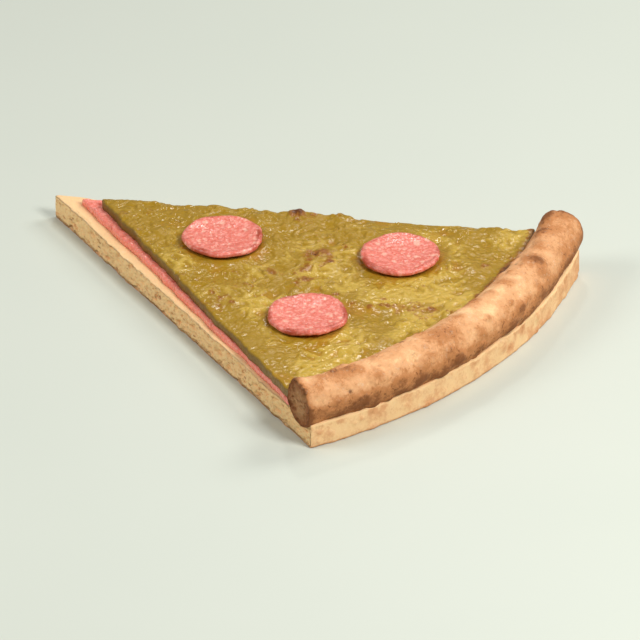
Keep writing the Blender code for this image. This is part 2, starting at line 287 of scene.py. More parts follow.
class Finish:
    """A material being put together. Its methods add nodes and give back their output sockets. A coat is
    a weight and a roughness. A glow is the share of light that goes in, how far, and how far by colour."""

    def __init__(self, name, ior, specular=0.5, coat=(0.0, 0.03), glow=(0.0, MM, (1.0, 1.0, 1.0))):
        self.material = bpy.data.materials.new(name)
        self.material.use_nodes = True
        self.tree = self.material.node_tree
        self.shader = self.tree.nodes["Principled BSDF"]
        coated = ("Coat Weight", "Coat Roughness")
        glowing = ("Subsurface Weight", "Subsurface Scale", "Subsurface Radius")
        names = ("IOR", "Specular IOR Level", *coated, *glowing)
        for socket, value in zip(names, (ior, specular, *coat, *glow)):
            self.shader.inputs[socket].default_value = value

    def node(self, kind, **settings):
        """A new node with these settings."""
        made = self.tree.nodes.new(kind)
        for key, value in settings.items():
            setattr(made, key, value)
        return made

    def put(self, socket, value):
        """Links an output to an input, or sets the input to a constant."""
        if isinstance(value, bpy.types.NodeSocket):
            self.tree.links.new(value, socket)
        else:
            socket.default_value = value

    def feed(self, made, *values):
        """Fills a node's inputs in their order, and gives back its first output."""
        for socket, value in zip(made.inputs, values):
            self.put(socket, value)
        return made.outputs[0]

    def mark(self, name):
        """The number that a piece keeps for each vertex."""
        return self.node("ShaderNodeAttribute", attribute_name=name).outputs["Fac"]

    def texture(self, kind, size, stretch):
        """A texture of this size in object coordinates, finer along an axis with a larger stretch."""
        mapping = self.node("ShaderNodeMapping")
        mapping.inputs["Scale"].default_value = stretch
        made = self.node(kind)
        made.inputs["Scale"].default_value = 1 / size
        coordinates = self.node("ShaderNodeTexCoord").outputs["Object"]
        self.feed(made, self.feed(mapping, coordinates))
        return made

    def noise(self, size, detail=3.0, rough=0.55):
        """Noise with lumps of about this size."""
        made = self.texture("ShaderNodeTexNoise", size, (1, 1, 1))
        made.inputs["Detail"].default_value = detail
        made.inputs["Roughness"].default_value = rough
        return made.outputs["Fac"]

    def cells(self, size, stretch=(1, 1, 1)):
        """Distance from the middle of the nearest round cell of about this size, about 0 to 0.8."""
        return self.texture("ShaderNodeTexVoronoi", size, stretch).outputs["Distance"]

    def between(self, value, low, high, start=0.0, end=1.0):
        """Start where the value is under low, end where it is over high, and a smooth step between."""
        ranged = self.node("ShaderNodeMapRange", interpolation_type="SMOOTHSTEP")
        return self.feed(ranged, value, low, high, start, end)

    def sum(self, one, other, share=1.0):
        """One plus share times other."""
        return self.feed(self.node("ShaderNodeMath", operation="MULTIPLY_ADD"), other, share, one)

    def centred(self, value):
        """A texture's value less a half, so that it adds as much as it takes away."""
        return self.sum(value, -0.5)

    def product(self, one, other):
        """One times other."""
        return self.feed(self.node("ShaderNodeMath", operation="MULTIPLY"), one, other)

    def mix(self, share, one, other):
        """Colour one where share is 0 and colour other where it is 1."""
        made = self.node("ShaderNodeMix", data_type="RGBA")
        self.put(made.inputs[0], share)
        self.put(made.inputs[6], linear(one))
        self.put(made.inputs[7], linear(other))
        return made.outputs[2]

    def tint(self, colour, other, value, low, high, start=0.0, end=1.0):
        """The colour with a share of the other one: start where the value is low, end where it is high."""
        return self.mix(self.between(value, low, high, start, end), colour, other)

    def bump(self, height, distance, strength=1.0, below=None):
        """A normal tilted by this height map, whose full range stands for this distance."""
        made = self.node("ShaderNodeBump")
        made.inputs["Strength"].default_value = strength
        made.inputs["Distance"].default_value = distance
        self.put(made.inputs["Height"], height)
        if below is not None:
            self.put(made.inputs["Normal"], below)
        return made.outputs["Normal"]

    def use(self, colour, roughness, normal):
        """Connects the finished colour, roughness and normal."""
        for name, value in (("Base Color", colour), ("Roughness", roughness), ("Normal", normal)):
            self.put(self.shader.inputs[name], value)


def dress(piece, finish, node):
    """Gives a piece its finish, files it under the body, and hides the solid that it stands for."""
    piece.data.materials.append(finish.material)
    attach(piece, "root")
    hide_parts(node)


# %% [markdown]
# ## The baked dough's finish
#
# Base and rim are one dough, so they share one finish. Its colour depends on marks: how browned or charred
# the skin is, how much open crumb shows, how deep a pore is, and where sauce has soaked in. The browning
# mark also holds painted shade, darker towards the rim's underside and the far ends. The crumb is painted
# darker in its pores and in the middle of its cells, as shade. Small freckles, flour and fine wrinkles are
# noise, and the crumb has flat round cells of two sizes. Bread is matt, and light goes a little way into
# its crumb, which a small subsurface share imitates.

# %% Dough finish
def dough_finish():
    """The skin is tinted from pale to brown by the browning mark, which also holds painted shade, and the
    inside by its cells, its pores and its toast; the cells and pores paint shade. The crumb mark chooses
    between the two."""
    look = Finish("baked_dough", ior=1.4, specular=0.3, glow=(0.08, 1.0 * MM, (1.0, 0.6, 0.35)))
    pale = (255, 212, 156)
    golden = (233, 173, 121)
    tanned = (200, 134, 82)
    browned = (138, 84, 46)
    burnt = (100, 58, 34)
    floury = (250, 230, 200)
    crumb_light = (255, 220, 160)
    crumb_dark = (255, 203, 140)
    painted_hole_shade = (234, 164, 102)
    painted_gap_shade = (224, 146, 88)
    painted_pore_shade = (228, 152, 94)
    toasted = (138, 76, 36)
    soaked = (228, 134, 100)
    bake = look.mark("bake")
    crumb = look.mark("crumb")
    mottled = look.noise(6 * MM, detail=6, rough=0.7)
    grainy = look.noise(1.0 * MM, detail=4, rough=0.7)
    holes = look.between(look.cells(1.5 * MM, (0.7, 0.7, 1.3)), 0.16, 0.36)
    gaps = look.between(look.cells(3.2 * MM, (0.6, 0.6, 1.4)), 0.12, 0.26)
    freckles = look.between(look.noise(1.8 * MM, detail=3, rough=0.6), 0.56, 0.7)
    uneven = look.sum(bake, look.centred(mottled), 0.9)
    uneven = look.sum(uneven, look.centred(grainy), 0.5)
    uneven = look.sum(uneven, look.product(freckles, bake), 0.45)
    charred = look.sum(look.mark("char"), look.centred(grainy), 0.8)
    flour = look.between(look.noise(2.0 * MM, detail=7, rough=0.8), 0.55, 0.68, 0.0, 0.42)
    skin = look.tint(pale, golden, uneven, 0.0, 0.35)
    skin = look.tint(skin, tanned, uneven, 0.32, 0.66)
    skin = look.tint(skin, browned, uneven, 0.64, 1.05)
    skin = look.tint(skin, burnt, charred, 0.25, 0.9, 0.0, 0.85)
    skin = look.mix(look.product(flour, look.mark("flour")), skin, floury)
    inside = look.tint(crumb_light, crumb_dark, grainy, 0.3, 0.7)
    # Painted shade: the crumb is darker in the middle of its round cells, in its gaps and deep in its
    # pores.
    inside = look.tint(inside, painted_hole_shade, holes, 0.0, 1.0, 0.4, 0.0)
    inside = look.tint(inside, painted_gap_shade, gaps, 0.0, 1.0, 0.55, 0.0)
    inside = look.tint(inside, painted_pore_shade, look.mark("pore"), 0.1, 0.9, 0.0, 0.45)
    inside = look.mix(look.mark("toast"), inside, toasted)
    colour = look.mix(crumb, skin, inside)
    colour = look.mix(look.mark("soak"), colour, soaked)
    normal = look.bump(grainy, 0.4 * MM, 0.7)
    normal = look.bump(mottled, 0.8 * MM, 0.5, below=normal)
    normal = look.bump(look.product(holes, crumb), 0.4 * MM, 0.8, below=normal)
    normal = look.bump(look.product(gaps, crumb), 0.8 * MM, 0.8, below=normal)
    look.use(colour, look.between(mottled, 0.2, 0.8, 0.58, 0.85), normal)
    return look


dough = dough_finish()

# %% [markdown]
# ## The wedge of dough
#
# The wedge is drawn as its outline, walked round at even steps, and a profile that climbs the side. Each
# ring is the outline drawn in towards a point well inside, because a ring moved in by a fixed distance
# would cross itself at the sharp tip. Where the knife went through, the wall is eaten into by bubbles of
# two sizes. The outer arc and the strip of top that shows are skin, with shallow wrinkles and low blisters
# instead, and the foot is rounded and browned.

# %% The outline and the rings of a wedge
BASE_MIDDLE = 140.0 * MM
TO_CUT = BASE_MIDDLE * math.sin(HALF_ANGLE)
STRIP_ROWS = 33


def wedge_outline(tip, nose, radius, half_angle, step, softness):
    """Evenly spaced points round a wedge, anticlockwise: the outer arc, one cut, the blunt nose and the
    other cut. Points of the plan are kept as x + iy. The nose is the parabola x = tip + nose * a^2,
    y = 0.6 * nose * a, and a Gaussian blur along the outline softens the corners. Also gives the outward
    normals."""
    arc = radius * np.exp(1j * np.linspace(-half_angle, half_angle, 300))
    across = np.linspace(1, -1, 60)
    blunt = tip + nose * across**2 + 0.6j * nose * across
    corners = np.concatenate([arc, blunt, arc[:1]])
    walked = np.concatenate([[0], np.abs(np.diff(corners)).cumsum()])
    count = round(walked[-1] / step)
    line = np.interp(np.arange(count) * walked[-1] / count, walked, corners)
    blur = np.exp(-2 * (math.pi * softness * np.fft.fftfreq(count, d=step)) ** 2)
    line = np.fft.ifft(np.fft.fft(line) * blur)
    ahead = np.roll(line, -1) - np.roll(line, 1)
    normal = -1j * ahead / np.abs(ahead)
    return np.stack([line.real, line.imag], -1), np.stack([normal.real, normal.imag], -1)


def rings_round(outline, drawn_in, heights):
    """Rings of points: the outline drawn in towards the middle by each share, at each height."""
    centre = np.array([BASE_MIDDLE, 0.0])
    plan = centre + (outline - centre) * (1 - drawn_in[:, None, None])
    level = np.broadcast_to(heights[:, None, None], (*plan.shape[:2], 1))
    return np.concatenate([plan, level], axis=-1)


def rounded_corner(inset, low, high, steps, upper):
    """Shares drawn in and heights along a quarter circle at the foot or the top of a wall."""
    turn = np.linspace(0, math.pi / 2, steps)
    if upper:
        return inset * (1 - np.cos(turn)), low + (high - low) * np.sin(turn)
    return inset * (1 - np.sin(turn)), low + (high - low) * (1 - np.cos(turn))


def top_rows(edge, steps, top, strip_end, far_in):
    """Shares drawn in and heights from the rounded upper edge, over an even strip, to a few wide rows."""
    edge_in, edge_up = rounded_corner(edge / TO_CUT, top - edge, top, steps, upper=True)
    top_in = [*np.linspace(edge_in[-1], strip_end, STRIP_ROWS + 1)[1:], *far_in]
    return [*edge_in, *top_in], [*edge_up, *np.full(len(top_in), top)]


# %% Open crumb
def crumb_holes(places, seed, largest, stretch):
    """Depth of an open crumb's holes at each place, in metres, and how deep in a pore it is, 0 to 1. Two
    sizes of bubble, pulled long by the stretch along each axis, are cut by the surface, and each digs a
    bowl. Fibres between them are layered noise."""
    long = places / np.array(stretch)
    bent = bend(long, 0.2 * largest, 0.8 * largest, seed + 90)
    large = bubbles(bent, largest, seed, 0.55)
    small = bubbles(bent, 0.4 * largest, seed + 10, 0.55)
    fibres = layered(long, 0.3 * largest, seed + 20, layers=3)
    depth = largest * (0.42 * np.sqrt(large) + 0.16 * np.sqrt(small) + 0.06 * fibres)
    return depth, np.clip(1.5 * large + 0.5 * small, 0, 1)


# %% The wedge's surface
BASE_STEP = 0.5 * MM
BASE_NOSE = 1.1 * MM
BASE_CORNER = 0.5 * MM
FOOT_IN = 0.6 * MM
FOOT_UP = 1.0 * MM
TOP_EDGE = 0.8 * MM
WALL_ROWS = 19
CRUMB_HOLE = 3.6 * MM
DEEPEST_HOLE = 2.2 * MM


def base_rows():
    """Shares drawn in and heights of the wedge's rings, from the middle of the underside to that of the
    top. The long even run near the outside of the top is the strip that shows round the sauce."""
    foot_in, foot_up = rounded_corner(FOOT_IN / TO_CUT, 0.0, FOOT_UP, 5, upper=False)
    top_in, top_up = top_rows(TOP_EDGE, 5, BASE_THICKNESS, 0.12, (0.2, 0.4, 0.7, 0.93))
    wall_up = np.linspace(foot_up[-1], top_up[0], WALL_ROWS + 2)[1:-1]
    below_in = [0.93, 0.7, 0.4, 0.15, 0.05]
    drawn_in = np.concatenate([below_in, foot_in, np.zeros(WALL_ROWS), top_in])
    return drawn_in, np.concatenate([np.zeros(len(below_in)), foot_up, wall_up, top_up])


def dough_wedge():
    """The rings, moved along the outline's normals: inwards by the crumb's holes where the wall was cut,
    and outwards by lumps and blisters on all of it. The top sinks by the solid's own waves."""
    outline, normals = wedge_outline(0.0, BASE_NOSE, BASE_RADIUS, HALF_ANGLE, BASE_STEP, BASE_CORNER)
    drawn_in, heights = base_rows()
    rings = rings_round(outline, drawn_in, heights)
    from_tip = np.linalg.norm(outline, axis=1)
    facing = (outline * normals).sum(axis=1) / from_tip
    cut = (1 - smooth(np.abs(facing), 0.35, 0.75)) * np.ones((len(heights), 1))
    height = rings[..., 2] / BASE_THICKNESS
    outside = drawn_in[:, None] < 0.02
    wall = smooth(height, 0.04, 0.12) * (1 - smooth(height, 0.9, 0.99)) * outside
    flat = rings * (1, 1, 0)
    depth, pore = crumb_holes(rings, 300, CRUMB_HOLE, (1.6, 1.6, 0.7))
    past_tip = smooth(from_tip, 4 * MM, 12 * MM)
    dug = depth * cut * wall * past_tip
    skin = 0.3 * MM * layered(rings, 7 * MM, 320) + 0.15 * MM * layered(rings, 1.8 * MM, 321)
    blister = bubbles(rings, 7 * MM, 322, 0.5)
    skin += 0.6 * MM * np.sqrt(blister) + 0.35 * MM * layered(rings, 16 * MM, 323) - 0.3 * MM
    uneven = 0.3 * MM * noise(rings, 22 * MM, 330) * cut
    inward = dug - np.where(outside, 0.22 * MM + skin + uneven * past_tip, 0)
    rings[..., :2] -= normals * np.minimum(inward, DEEPEST_HOLE)[..., None]
    sunk = 0.25 * MM * np.clip(1 + waves(flat[..., :2], 24 * MM, 12), 0, 2)
    sunk = sunk - 0.15 * MM * layered(flat, 4 * MM, 340) + 0.1 * MM
    rings[..., 2] -= sunk * smooth(height, 0.2, 1.0)
    rings[..., 0] += TIP_X
    piece = ring_piece("crust_base", rings)
    on_top = smooth(height, 0.93, 1.0)
    under = (height < 0.01) * 1.0
    blotch = 0.5 + 0.5 * layered(flat, 16 * MM, 350)
    arc = 1 - cut
    bake = 0.08 + 0.25 * (blotch - 0.5) + 0.36 * (1 - smooth(height, 0.02, 0.14))
    # Painted shade: the outer wall is browned more towards its far end.
    far_end_shade = smooth(np.arctan2(outline[:, 1], outline[:, 0]), 0.1, 0.8 * HALF_ANGLE)
    bake += arc * wall * (0.15 * far_end_shade + 0.4 * smooth(layered(rings, 9 * MM, 351), 0.0, 0.6))
    bake += under * (0.15 + 0.8 * smooth(blotch, 0.5, 0.75)) - 0.15 * on_top + 0.25 * arc * wall * blister
    crumb = cut * (1 - on_top) * smooth(height, 0.05, 0.14)
    sauce_edge = smooth(drawn_in[:, None] * np.ones_like(height), 0.05, 0.11)
    mark_rings(
        piece,
        bake=bake,
        crumb=crumb,
        pore=pore * cut * wall,
        toast=crumb * (0.03 + 0.3 * (1 - smooth(height, 0.05, 0.2))),
        soak=0.45 * sauce_edge * on_top * smooth(blotch, 0.3, 0.7),
        flour=0.6 + 0.4 * on_top,
        char=under * smooth(blotch, 0.62, 0.8),
    )
    dress(piece, dough, "crust")


dough_wedge()

# %% [markdown]
# ## The rolled rim
#
# The rim is a roll along an arc. The solid's own swellings come first: slow waves, lumps and blisters.
# On top of them come blisters of two sizes, fine wrinkles that run along the roll, and pits. It is
# browner on the blisters, which stood nearest the flames. Towards the underside and towards the far end its
# colour is darker, which is painted shade. The two ends were cut, so a small shoulder leads to a flat face
# with a coarse open crumb, toasted a darker brown because the ends stick out into the heat.

# %% The rim's swellings, as the solid has them
def rim_places(along, turn):
    """The place of a skin point along and round an even, straightened rim."""
    half = RIM_THICKNESS / 2
    return np.stack([along, half * np.cos(turn), half * np.sin(turn)], axis=-1)


def rim_blisters(places):
    """Sixteen low bells with seeded places, widths and heights."""
    random = np.random.default_rng(23)
    count = 16
    half_length = RIM_HALF_ANGLE * RIM_ARC_RADIUS * 0.94
    paths = np.linspace(-half_length, half_length, count) + random.uniform(-4, 4, count) * MM
    turns = random.uniform(-0.25, 2.3, count)
    widths = random.uniform(3.2, 6.0, count) * MM
    heights = random.uniform(0.5, 1.1, count) * MM
    return bells(places, rim_places(paths, turns), widths, heights, 2)


def rim_swell(places, turn):
    """How far the rim stands out from an even roll, a third as much on the side of the cheese."""
    slow = 0.5 * MM * waves(places, 46 * MM, 21)
    lumps = 0.3 * MM * waves(places, 17 * MM, 22)
    away_from_cheese = 0.35 + 0.65 * np.clip((np.cos(turn) + 1) / 1.2, 0, 1)
    return (slow + lumps + rim_blisters(places) - 0.25 * MM) * away_from_cheese


# %% The rim's surface
RIM_ROWS = 400
RIM_SIDES = 150
FACE_ROWS = 24
SHOULDER = 0.9 * MM
TALLEST_RELIEF = 1.2 * MM
RIM_CRUMB_HOLE = 4.6 * MM


def rim_rows():
    """Angles, and radii as a share of the full one, ring by ring from the near end's middle to the far
    end's: cut face, shoulder, skin, shoulder and cut face."""
    share_shoulder = SHOULDER / (RIM_THICKNESS / 2)
    face = np.linspace(0.03, 1 - share_shoulder, FACE_ROWS)
    turn = np.linspace(0, math.pi / 2, 5)
    edge = 1 - share_shoulder * (1 - np.sin(turn[1:]))
    back = SHOULDER * (1 - np.cos(turn[1:])) / RIM_ARC_RADIUS
    skin_start = RIM_HALF_ANGLE - back[-1]
    skin = np.linspace(-skin_start, skin_start, RIM_ROWS)[1:-1]
    near_end = [*np.full(FACE_ROWS, -RIM_HALF_ANGLE), *(back - RIM_HALF_ANGLE)]
    angles = np.concatenate([near_end, skin, -np.array(near_end[::-1])])
    shares = np.concatenate([face, edge, np.ones(RIM_ROWS - 2), edge[::-1], face[::-1]])
    return angles[:, None], shares[:, None]


def rim_relief(places, turn):
    """What stands out of the even roll at each skin point, levelled off towards its tallest by a
    hyperbolic tangent, and the shares of blister, pimple and wrinkle there."""
    patches = smooth(noise(places, 15 * MM, 410), -0.15, 0.5)
    blister = bubbles(places, 10 * MM, 415, 0.5)
    pimple = bubbles(places, 3.6 * MM, 420, 0.55) * patches
    wrinkles = layered(places * np.array([0.55, 1.0, 1.0]), 5.5 * MM, 430, layers=5)
    pits = smooth(layered(places, 2.2 * MM, 435, layers=3), 0.25, 0.7)
    relief = rim_swell(places, turn) + 1.0 * MM * np.sqrt(blister) + 0.6 * MM * np.sqrt(pimple)
    relief += 0.6 * MM * wrinkles - 0.45 * MM * pits - 0.7 * MM
    levelled = TALLEST_RELIEF * np.tanh(relief / TALLEST_RELIEF)
    relief = np.where(relief > 0, levelled, relief)
    return relief, blister, pimple, wrinkles


def rim_piece():
    """A circle in each row's own upright plane, carried along the arc. Its radius is the roll's plus the
    relief, times the row's share, and the crumb's holes push the cut faces in along the arc."""
    angle, share = rim_rows()
    turn = np.linspace(0, 2 * math.pi, RIM_SIDES, endpoint=False)[None, :]
    angle, share, turn = np.broadcast_arrays(angle, share, turn)
    places = rim_places(angle * RIM_ARC_RADIUS, turn)
    relief, blister, pimple, wrinkles = rim_relief(places, turn)
    face = 1 - smooth(share, 0.86, 0.97)
    out = (RIM_THICKNESS / 2 + relief) * share
    level = out * np.sin(turn)
    flat = np.stack([out * np.cos(turn), angle * RIM_ARC_RADIUS, level], axis=-1)
    depth, pore = crumb_holes(flat, 450, RIM_CRUMB_HOLE, (1.0, 1.0, 0.9))
    pushed = -np.sign(angle) * (depth + 0.25 * MM * layered(flat, 3 * MM, 455)) * face
    reach = RIM_ARC_RADIUS + out * np.cos(turn)
    x = reach * np.cos(angle) - pushed * np.sin(angle) + TIP_X
    y = reach * np.sin(angle) + pushed * np.cos(angle)
    piece = ring_piece("crust_rim", np.stack([x, y, RIM_ARC_HEIGHT + level], axis=-1))
    # Painted shade: the roll's skin is browned more towards its underside.
    low = 1 - smooth(np.sin(turn), -0.45, 0.85)
    # Painted shade: the roll is browned more towards its far end.
    far_end_shade = smooth(angle, 0.12, RIM_HALF_ANGLE)
    bake = 0.28 + 0.24 * far_end_shade + 0.55 * low + 0.2 * layered(places, 18 * MM, 460) + 0.25 * wrinkles
    bake += 0.35 * np.clip(rim_blisters(places) / MM, 0, 1) + 0.4 * blister + 0.25 * pimple
    near_ends = smooth(np.abs(angle), RIM_HALF_ANGLE - 0.016, RIM_HALF_ANGLE)
    spots = bubbles(places + 0.6 * MM * wrinkles[..., None], 7.5 * MM, 470, 0.42)
    spots = spots * smooth(noise(places, 26 * MM, 471), -0.1, 0.45) * smooth(np.sin(turn), -0.6, 0.2)
    mark_rings(
        piece,
        bake=bake + 0.4 * near_ends * (1 - face),
        crumb=face * (np.abs(angle) > RIM_HALF_ANGLE - 0.002),
        pore=pore * face,
        toast=0.72 + 0.25 * smooth(share, 0.3, 0.95) - 0.25 * pore,
        soak=np.zeros_like(face),
        flour=smooth(np.sin(turn), -0.2, 0.7) * (1 - face),
        char=1.1 * spots * (1 - face),
    )
    dress(piece, dough, "crust")


rim_piece()

# %% [markdown]
# ## Tomato sauce
#
# Only the sauce's edge shows, as a strip at the tip and a thin line along the cuts. It is a ring surface
# like the wedge, with a ragged outline, a soft wet edge and the small lumps of cooked tomato pulp. Its
# finish is moist, with darker pulp in a lighter, oilier sauce.

# %% Sauce finish
def sauce_finish():
    """A red that fine noise tints to the oily one, and the pulp mark to the dark one."""
    look = Finish("tomato_sauce", ior=1.38, coat=(0.3, 0.15), glow=(0.15, 1.0 * MM, (1.0, 0.25, 0.12)))
    red = (246, 130, 110)
    oily = (255, 161, 143)
    dark_pulp = (208, 84, 62)
    fine = look.noise(1.2 * MM, detail=4, rough=0.65)
    colour = look.tint(red, oily, fine, 0.35, 0.7)
    colour = look.tint(colour, dark_pulp, look.mark("pulp"), 0.15, 0.8, 0.0, 0.8)
    look.use(colour, look.between(fine, 0.3, 0.7, 0.15, 0.35), look.bump(fine, 0.3 * MM, 0.5))
    return look


# %% The sauce's surface
SAUCE_NOSE = 2.2 * MM
SAUCE_STEP = 0.55 * MM
SAUCE_CORNER = 0.6 * MM
SAUCE_EDGE = 1.0 * MM
SAUCE_BOTTOM = BASE_THICKNESS - 0.5 * MM


def sauce_piece():
    """The rings of a thinner wedge, with a ragged outline that noise moves along its normals, and a top
    raised by lumps of pulp, which are bubbles in a bent space."""
    outline, normals = wedge_outline(
        SAUCE_TIP, SAUCE_NOSE, SAUCE_RADIUS, TOPPING_HALF_ANGLE, SAUCE_STEP, SAUCE_CORNER
    )
    top_in, top_up = top_rows(SAUCE_EDGE, 9, SAUCE_TOP, 0.17, (0.3, 0.6, 0.9))
    drawn_in = np.array([0.9, 0.5, 0.1, 0.0, 0.0, *top_in])
    heights = np.array([*np.full(4, SAUCE_BOTTOM), SAUCE_BOTTOM + 0.7 * MM, *top_up])
    rings = rings_round(outline, drawn_in, heights)
    flat = rings * (1, 1, 0)
    ragged = 0.45 * MM * noise(flat, 6 * MM, 510) + 0.35 * MM * noise(flat, 15 * MM, 511)
    fade = 1 - smooth(drawn_in, 0.02, 0.1)[:, None]
    along = smooth(np.linalg.norm(outline, axis=1), SAUCE_TIP, SAUCE_TIP + 8 * MM)
    ragged += 0.2 * MM * layered(rings, 2.4 * MM, 512)
    rings[..., :2] -= normals * (ragged * fade * along)[..., None]
    pulp = bubbles(bend(rings, 0.7 * MM, 2 * MM, 521), 3.2 * MM, 520, 0.55)
    relief = 0.3 * MM * layered(rings, 5 * MM, 530) + 0.4 * MM * np.sqrt(pulp) - 0.25 * MM
    high = smooth(heights, BASE_THICKNESS + 0.8 * MM, SAUCE_TOP)[:, None]
    rings[..., 2] += relief * high
    rings[..., 0] += TIP_X
    piece = ring_piece("sauce_layer", rings)
    mark_rings(piece, pulp=pulp + 0.35 * layered(rings, 6 * MM, 540))
    dress(piece, sauce_finish(), "sauce")


sauce_piece()

# %% [markdown]
# ## Melted cheese
#
# The cheese is the largest surface, and all of its top shows, so it needs even detail everywhere. A cloth
# laid over a block gives that: a square grid whose outer rows hang down as the edge. Its level is the
# solid's own relief, with a seat under each pepperoni slice, plus ripples, grated strands that haven't
# quite melted, small burst bubbles, and a low bank where it has run up against the pepperoni and the rim.

# %% Melted strands
def strands(plan, size, seed, half_length, half_width):
    """Height, 0 to 1, of soft ridges with random directions: every square cell of this size holds one
    grated strand of cheese, bent to a slight arc."""
    own = np.floor(plan / size)
    highest = np.zeros(plan.shape[:-1])
    for step in itertools.product((-2, -1, 0, 1, 2), repeat=2):
        cell = np.concatenate([own + step, np.zeros_like(own[..., :1])], axis=-1)
        random = [hashed(cell, seed + n) for n in range(5)]
        gap_x = plan[..., 0] - (cell[..., 0] + random[0]) * size
        gap_y = plan[..., 1] - (cell[..., 1] + random[1]) * size
        turn = 2 * math.pi * random[2]
        along = gap_x * np.cos(turn) + gap_y * np.sin(turn)
        aside = gap_y * np.cos(turn) - gap_x * np.sin(turn) + (random[3] - 0.5) * along**2 / half_length
        beyond = np.maximum(np.abs(along) - half_length * (0.5 + 0.5 * random[4]), 0)
        away = np.hypot(beyond, aside) / half_width
        highest = np.maximum(highest, np.clip(1 - away**2, 0, 1))
    return highest


# %% The cheese's level
def cheese_domes(flat):
    """Domes where steam lifted the cheese: flat-topped bells on a sunflower spiral."""
    random = np.random.default_rng(43)
    count = 34
    order = np.arange(count) + 0.5
    out = 0.62 * CHEESE_RADIUS * np.sqrt(order / count)
    turn = order * math.pi * (3 - math.sqrt(5))
    centres = on_plan(0.6 * CHEESE_RADIUS + 0.95 * out * np.cos(turn) + 1j * out * np.sin(turn))
    widths = random.uniform(3.5, 8.0, count) * MM
    heights = random.uniform(0.25, 0.75, count) * MM
    return bells(flat, centres, widths, heights, 4)


def spot_distance(plan):
    """Distance from the middle of the nearest pepperoni slice."""
    return np.min([np.abs(plan - complex(*spot)) for spot in PEPPERONI_SPOTS.values()], axis=0)


def cheese_level(plan):
    """Height of the cheese at a point: waves, domes, ripples, strands and bubbles added up, blended to
    the even seat under a pepperoni slice, plus a bell-shaped bank round it. Then the shares of dome,
    bubble, ripple and strand there."""
    flat = on_plan(plan)
    swell = 0.32 * MM * waves(flat[..., :2], 38 * MM, 41) + 0.2 * MM * waves(flat[..., :2], 16 * MM, 42)
    domes = cheese_domes(flat)
    ripple = layered(flat, 9 * MM, 610, layers=5)
    bent = bend(flat, 1.2 * MM, 5 * MM, 621)
    large = bubbles(bent, 15 * MM, 625, 0.42)
    small = bubbles(bent, 6 * MM, 620, 0.5)
    burst = smooth(small, 0.5, 0.62)
    unmelted = smooth(noise(flat, 20 * MM, 600), -0.6, 0.3)
    strand = strands(bent[..., :2], 5.5 * MM, 605, 8 * MM, 1.7 * MM) * unmelted
    blister = 0.9 * MM * np.sqrt(large) + 0.6 * MM * np.sqrt(small) - 0.6 * MM * burst
    fine = 0.45 * MM * ripple + blister + 0.62 * MM * strand - 0.3 * MM
    fine += 0.12 * MM * layered(flat, 2.0 * MM, 630, layers=3)
    bubble = np.maximum(0.8 * small, large)
    distance = spot_distance(plan)
    free = smooth(distance, SEAT_RADIUS, SEAT_RADIUS + SEAT_BLEND)
    bank = 0.75 * MM * np.exp(-(((distance - PEPPERONI_RADIUS - 0.4 * MM) / (1.7 * MM)) ** 2))
    level = SEAT_LEVEL + (CHEESE_TOP + swell + domes + fine - SEAT_LEVEL) * free
    level += bank * (0.6 + 0.4 * noise(flat, 7 * MM, 640))
    return level, domes / MM, bubble, ripple, strand * free


# %% A cloth laid over a wedge
CHEESE_BOTTOM = SAUCE_TOP - 0.35 * MM
CHEESE_EDGE = 1.2 * MM
CHEESE_NOSE = 3.0 * MM
INNER_NOSE = 1.2 * MM
ROUNDED_SHARE = 0.72
HANGING = 11
ROWS_ALONG = 396
ROWS_ACROSS = 214


def inner_wedge():
    """Tip, radius and half angle of the wedge whose sides lie the edge's width inside the cheese's, and the
    direction of its upper side."""
    corner = CHEESE_RADIUS * np.exp(1j * TOPPING_HALF_ANGLE)
    start = CHEESE_TIP + CHEESE_NOSE + 0.6j * CHEESE_NOSE
    ahead = (corner - start) / abs(corner - start)
    moved = start - 1j * ahead * CHEESE_EDGE
    inner_tip = moved.real - moved.imag * ahead.real / ahead.imag
    inner_corner = corner - (1 + 1j) * ahead * CHEESE_EDGE
    return inner_tip, abs(inner_corner), np.angle(inner_corner), ahead


def cheese_grid():
    """The cloth's points in plan, the direction outwards there, both as x + iy, and how far each point has
    gone over the edge, 0 to 1. A point lies along a ray from the blunt tip to the outer arc, and those of
    the hanging rows stay on the border."""
    inner_tip, inner_radius, inner_angle, ahead = inner_wedge()
    row = np.arange(ROWS_ALONG + 2 * HANGING)[:, None] - HANGING
    column = np.arange(ROWS_ACROSS + 2 * HANGING)[None, :] - HANGING
    along = np.clip(row / (ROWS_ALONG - 1), 0, 1) ** 0.85
    across = np.clip(2 * column / (ROWS_ACROSS - 1) - 1, -1, 1)
    past_end = np.where(row < 0, -row, np.maximum(row - ROWS_ALONG + 1, 0))
    past_side = np.where(column < 0, -column, np.maximum(column - ROWS_ACROSS + 1, 0))
    ray = np.exp(1j * across * inner_angle)
    nose = inner_tip + INNER_NOSE * across**2 + 0.6j * INNER_NOSE * across
    plan = nose + (inner_radius * ray - nose) * along
    side = -ahead.imag + 1j * ahead.real * np.sign(across)
    out = past_end * np.where(row < 0, -1, ray) + past_side * side
    over = np.maximum(past_end, past_side) / HANGING
    return plan, out / np.maximum(np.abs(out), 1e-9), over


